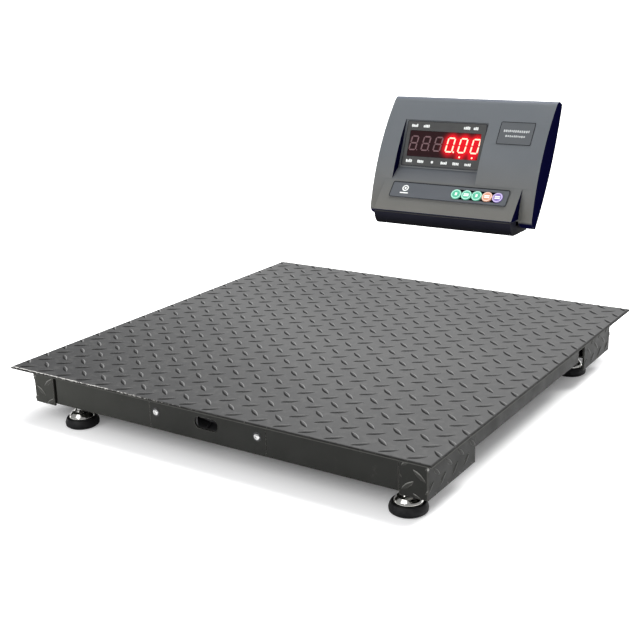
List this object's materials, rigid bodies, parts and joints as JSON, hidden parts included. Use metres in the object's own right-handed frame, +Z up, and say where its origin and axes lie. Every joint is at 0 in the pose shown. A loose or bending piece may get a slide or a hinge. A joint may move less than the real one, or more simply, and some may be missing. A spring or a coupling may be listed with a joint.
{
  "type": "pallet scale",
  "caption": "Square tread-plate floor scale on levelling feet, with a front access cover and a separate sloping LED indicator with round keys.",
  "frame": {"origin": "centre of the deck's top face", "axes": "+Z up, out of the deck; -Y is the front, with the access cover; +X is right seen from the front"},
  "size_m": [1.234, 1.2009, 0.7132],
  "materials": {
    "deck_paint": "satin grey powder coat over tread plate",
    "frame_paint": "satin dark grey powder coat",
    "zinc_steel": "bright zinc plate",
    "cell_steel": "nickel-plated alloy steel",
    "chrome": "pressed and plated, bright",
    "rubber": "moulded, matt",
    "box_paint": "light grey enamel",
    "case_plastic": "moulded grey with a fine grain",
    "label_film": "printed film",
    "mask_plastic": "printed film",
    "red_glass": "dark red tinted window",
    "black_plastic": "moulded black",
    "board": "green circuit board",
    "battery_case": "sealed battery case",
    "key_green": "printed membrane key",
    "key_salmon": "printed membrane key",
    "key_purple": "printed membrane key"
  },
  "bodies": {
    "platform": {"access_cover": "frame_paint", "corner_gusset_front_left": "frame_paint", "corner_gusset_front_right": "frame_paint", "corner_gusset_rear_left": "frame_paint", "corner_gusset_rear_right": "frame_paint", "cover_screw_left": "zinc_steel", "cover_screw_right": "zinc_steel", "deck_plate": "deck_paint", "deck_rib_1": "frame_paint", "deck_rib_2": "frame_paint", "deck_rib_3": "frame_paint", "front_channel_left": "frame_paint", "front_channel_right": "frame_paint", "junction_box": "box_paint", "junction_box_lid": "box_paint", "load_cell_front_left": "cell_steel", "load_cell_front_right": "cell_steel", "load_cell_rear_left": "cell_steel", "load_cell_rear_right": "cell_steel", "load_cell_spacer_front_left": "zinc_steel", "load_cell_spacer_front_right": "zinc_steel", "load_cell_spacer_rear_left": "zinc_steel", "load_cell_spacer_rear_right": "zinc_steel", "rear_channel": "frame_paint", "side_rail_left": "frame_paint", "side_rail_right": "frame_paint"},
    "foot_base_front_left": {"foot_cup_front_left": "chrome", "foot_pad_front_left": "rubber"},
    "foot_stud_front_left": {"foot_stud_front_left": "zinc_steel"},
    "foot_base_front_right": {"foot_cup_front_right": "chrome", "foot_pad_front_right": "rubber"},
    "foot_stud_front_right": {"foot_stud_front_right": "zinc_steel"},
    "foot_base_rear_left": {"foot_cup_rear_left": "chrome", "foot_pad_rear_left": "rubber"},
    "foot_stud_rear_left": {"foot_stud_rear_left": "zinc_steel"},
    "foot_base_rear_right": {"foot_cup_rear_right": "chrome", "foot_pad_rear_right": "rubber"},
    "foot_stud_rear_right": {"foot_stud_rear_right": "zinc_steel"},
    "key_function": {"key_function": "key_green"},
    "key_select": {"key_select": "key_green"},
    "key_tare": {"key_tare": "key_green"},
    "key_zero": {"key_zero": "key_salmon"},
    "key_total": {"key_total": "key_purple"},
    "power_switch": {"power_switch": "black_plastic"},
    "indicator": {"indicator_front_case": "case_plastic", "indicator_rear_case": "case_plastic", "display_mask": "mask_plastic", "display_window": "red_glass", "led_display": "black_plastic", "main_board": "board", "keypad_panel": "case_plastic", "label_plate": "label_film", "battery": "battery_case", "cell_cable_socket": "zinc_steel", "power_inlet": "black_plastic", "indicator_foot_front_left": "rubber", "indicator_foot_front_right": "rubber", "indicator_foot_rear_left": "rubber", "indicator_foot_rear_right": "rubber"}
  },
  "joints": [
    {"name": "foot_height_front_left", "type": "slide", "parent": "platform", "child": "foot_base_front_left", "axis": [0, 0, -1], "range_m": [-0.004, 0.012]},
    {"name": "foot_spin_front_left", "type": "hinge", "parent": "foot_base_front_left", "child": "foot_stud_front_left", "pos_m": [-0.332, -0.47, -0.05], "axis": [0, 0, -1], "range_deg": [-722, 2162]},
    {"name": "foot_height_front_right", "type": "slide", "parent": "platform", "child": "foot_base_front_right", "axis": [0, 0, -1], "range_m": [-0.004, 0.012]},
    {"name": "foot_spin_front_right", "type": "hinge", "parent": "foot_base_front_right", "child": "foot_stud_front_right", "pos_m": [0.44, -0.47, -0.05], "axis": [0, 0, -1], "range_deg": [-722, 2162]},
    {"name": "foot_height_rear_left", "type": "slide", "parent": "platform", "child": "foot_base_rear_left", "axis": [0, 0, -1], "range_m": [-0.004, 0.012]},
    {"name": "foot_spin_rear_left", "type": "hinge", "parent": "foot_base_rear_left", "child": "foot_stud_rear_left", "pos_m": [-0.332, 0.305, -0.05], "axis": [0, 0, -1], "range_deg": [-722, 2162]},
    {"name": "foot_height_rear_right", "type": "slide", "parent": "platform", "child": "foot_base_rear_right", "axis": [0, 0, -1], "range_m": [-0.004, 0.012]},
    {"name": "foot_spin_rear_right", "type": "hinge", "parent": "foot_base_rear_right", "child": "foot_stud_rear_right", "pos_m": [0.432, 0.305, -0.05], "axis": [0, 0, -1], "range_deg": [-722, 2162]},
    {"name": "indicator_placement", "type": "slide", "parent": "platform", "child": "indicator", "axis": [0, 0, 1], "range_m": [-0.555, 0]},
    {"name": "key_press_function", "type": "slide", "parent": "indicator", "child": "key_function", "axis": [0, 0.7314, -0.682], "range_m": [0, 0.0007]},
    {"name": "key_press_select", "type": "slide", "parent": "indicator", "child": "key_select", "axis": [0, 0.7314, -0.682], "range_m": [0, 0.0007]},
    {"name": "key_press_tare", "type": "slide", "parent": "indicator", "child": "key_tare", "axis": [0, 0.7314, -0.682], "range_m": [0, 0.0007]},
    {"name": "key_press_zero", "type": "slide", "parent": "indicator", "child": "key_zero", "axis": [0, 0.7314, -0.682], "range_m": [0, 0.0007]},
    {"name": "key_press_total", "type": "slide", "parent": "indicator", "child": "key_total", "axis": [0, 0.7314, -0.682], "range_m": [0, 0.0007]},
    {"name": "power_switch_tip", "type": "hinge", "parent": "indicator", "child": "power_switch", "pos_m": [0.654, -0.565, 0.47575], "axis": [1, 0, 0], "range_deg": [0, 14]}
  ],
  "couplings": [
    {"joint": "foot_spin_front_left", "follows": "foot_height_front_left", "rad_per_m": 3141.6},
    {"joint": "foot_spin_front_right", "follows": "foot_height_front_right", "rad_per_m": 3141.6},
    {"joint": "foot_spin_rear_left", "follows": "foot_height_rear_left", "rad_per_m": 3141.6},
    {"joint": "foot_spin_rear_right", "follows": "foot_height_rear_right", "rad_per_m": 3141.6}
  ]
}
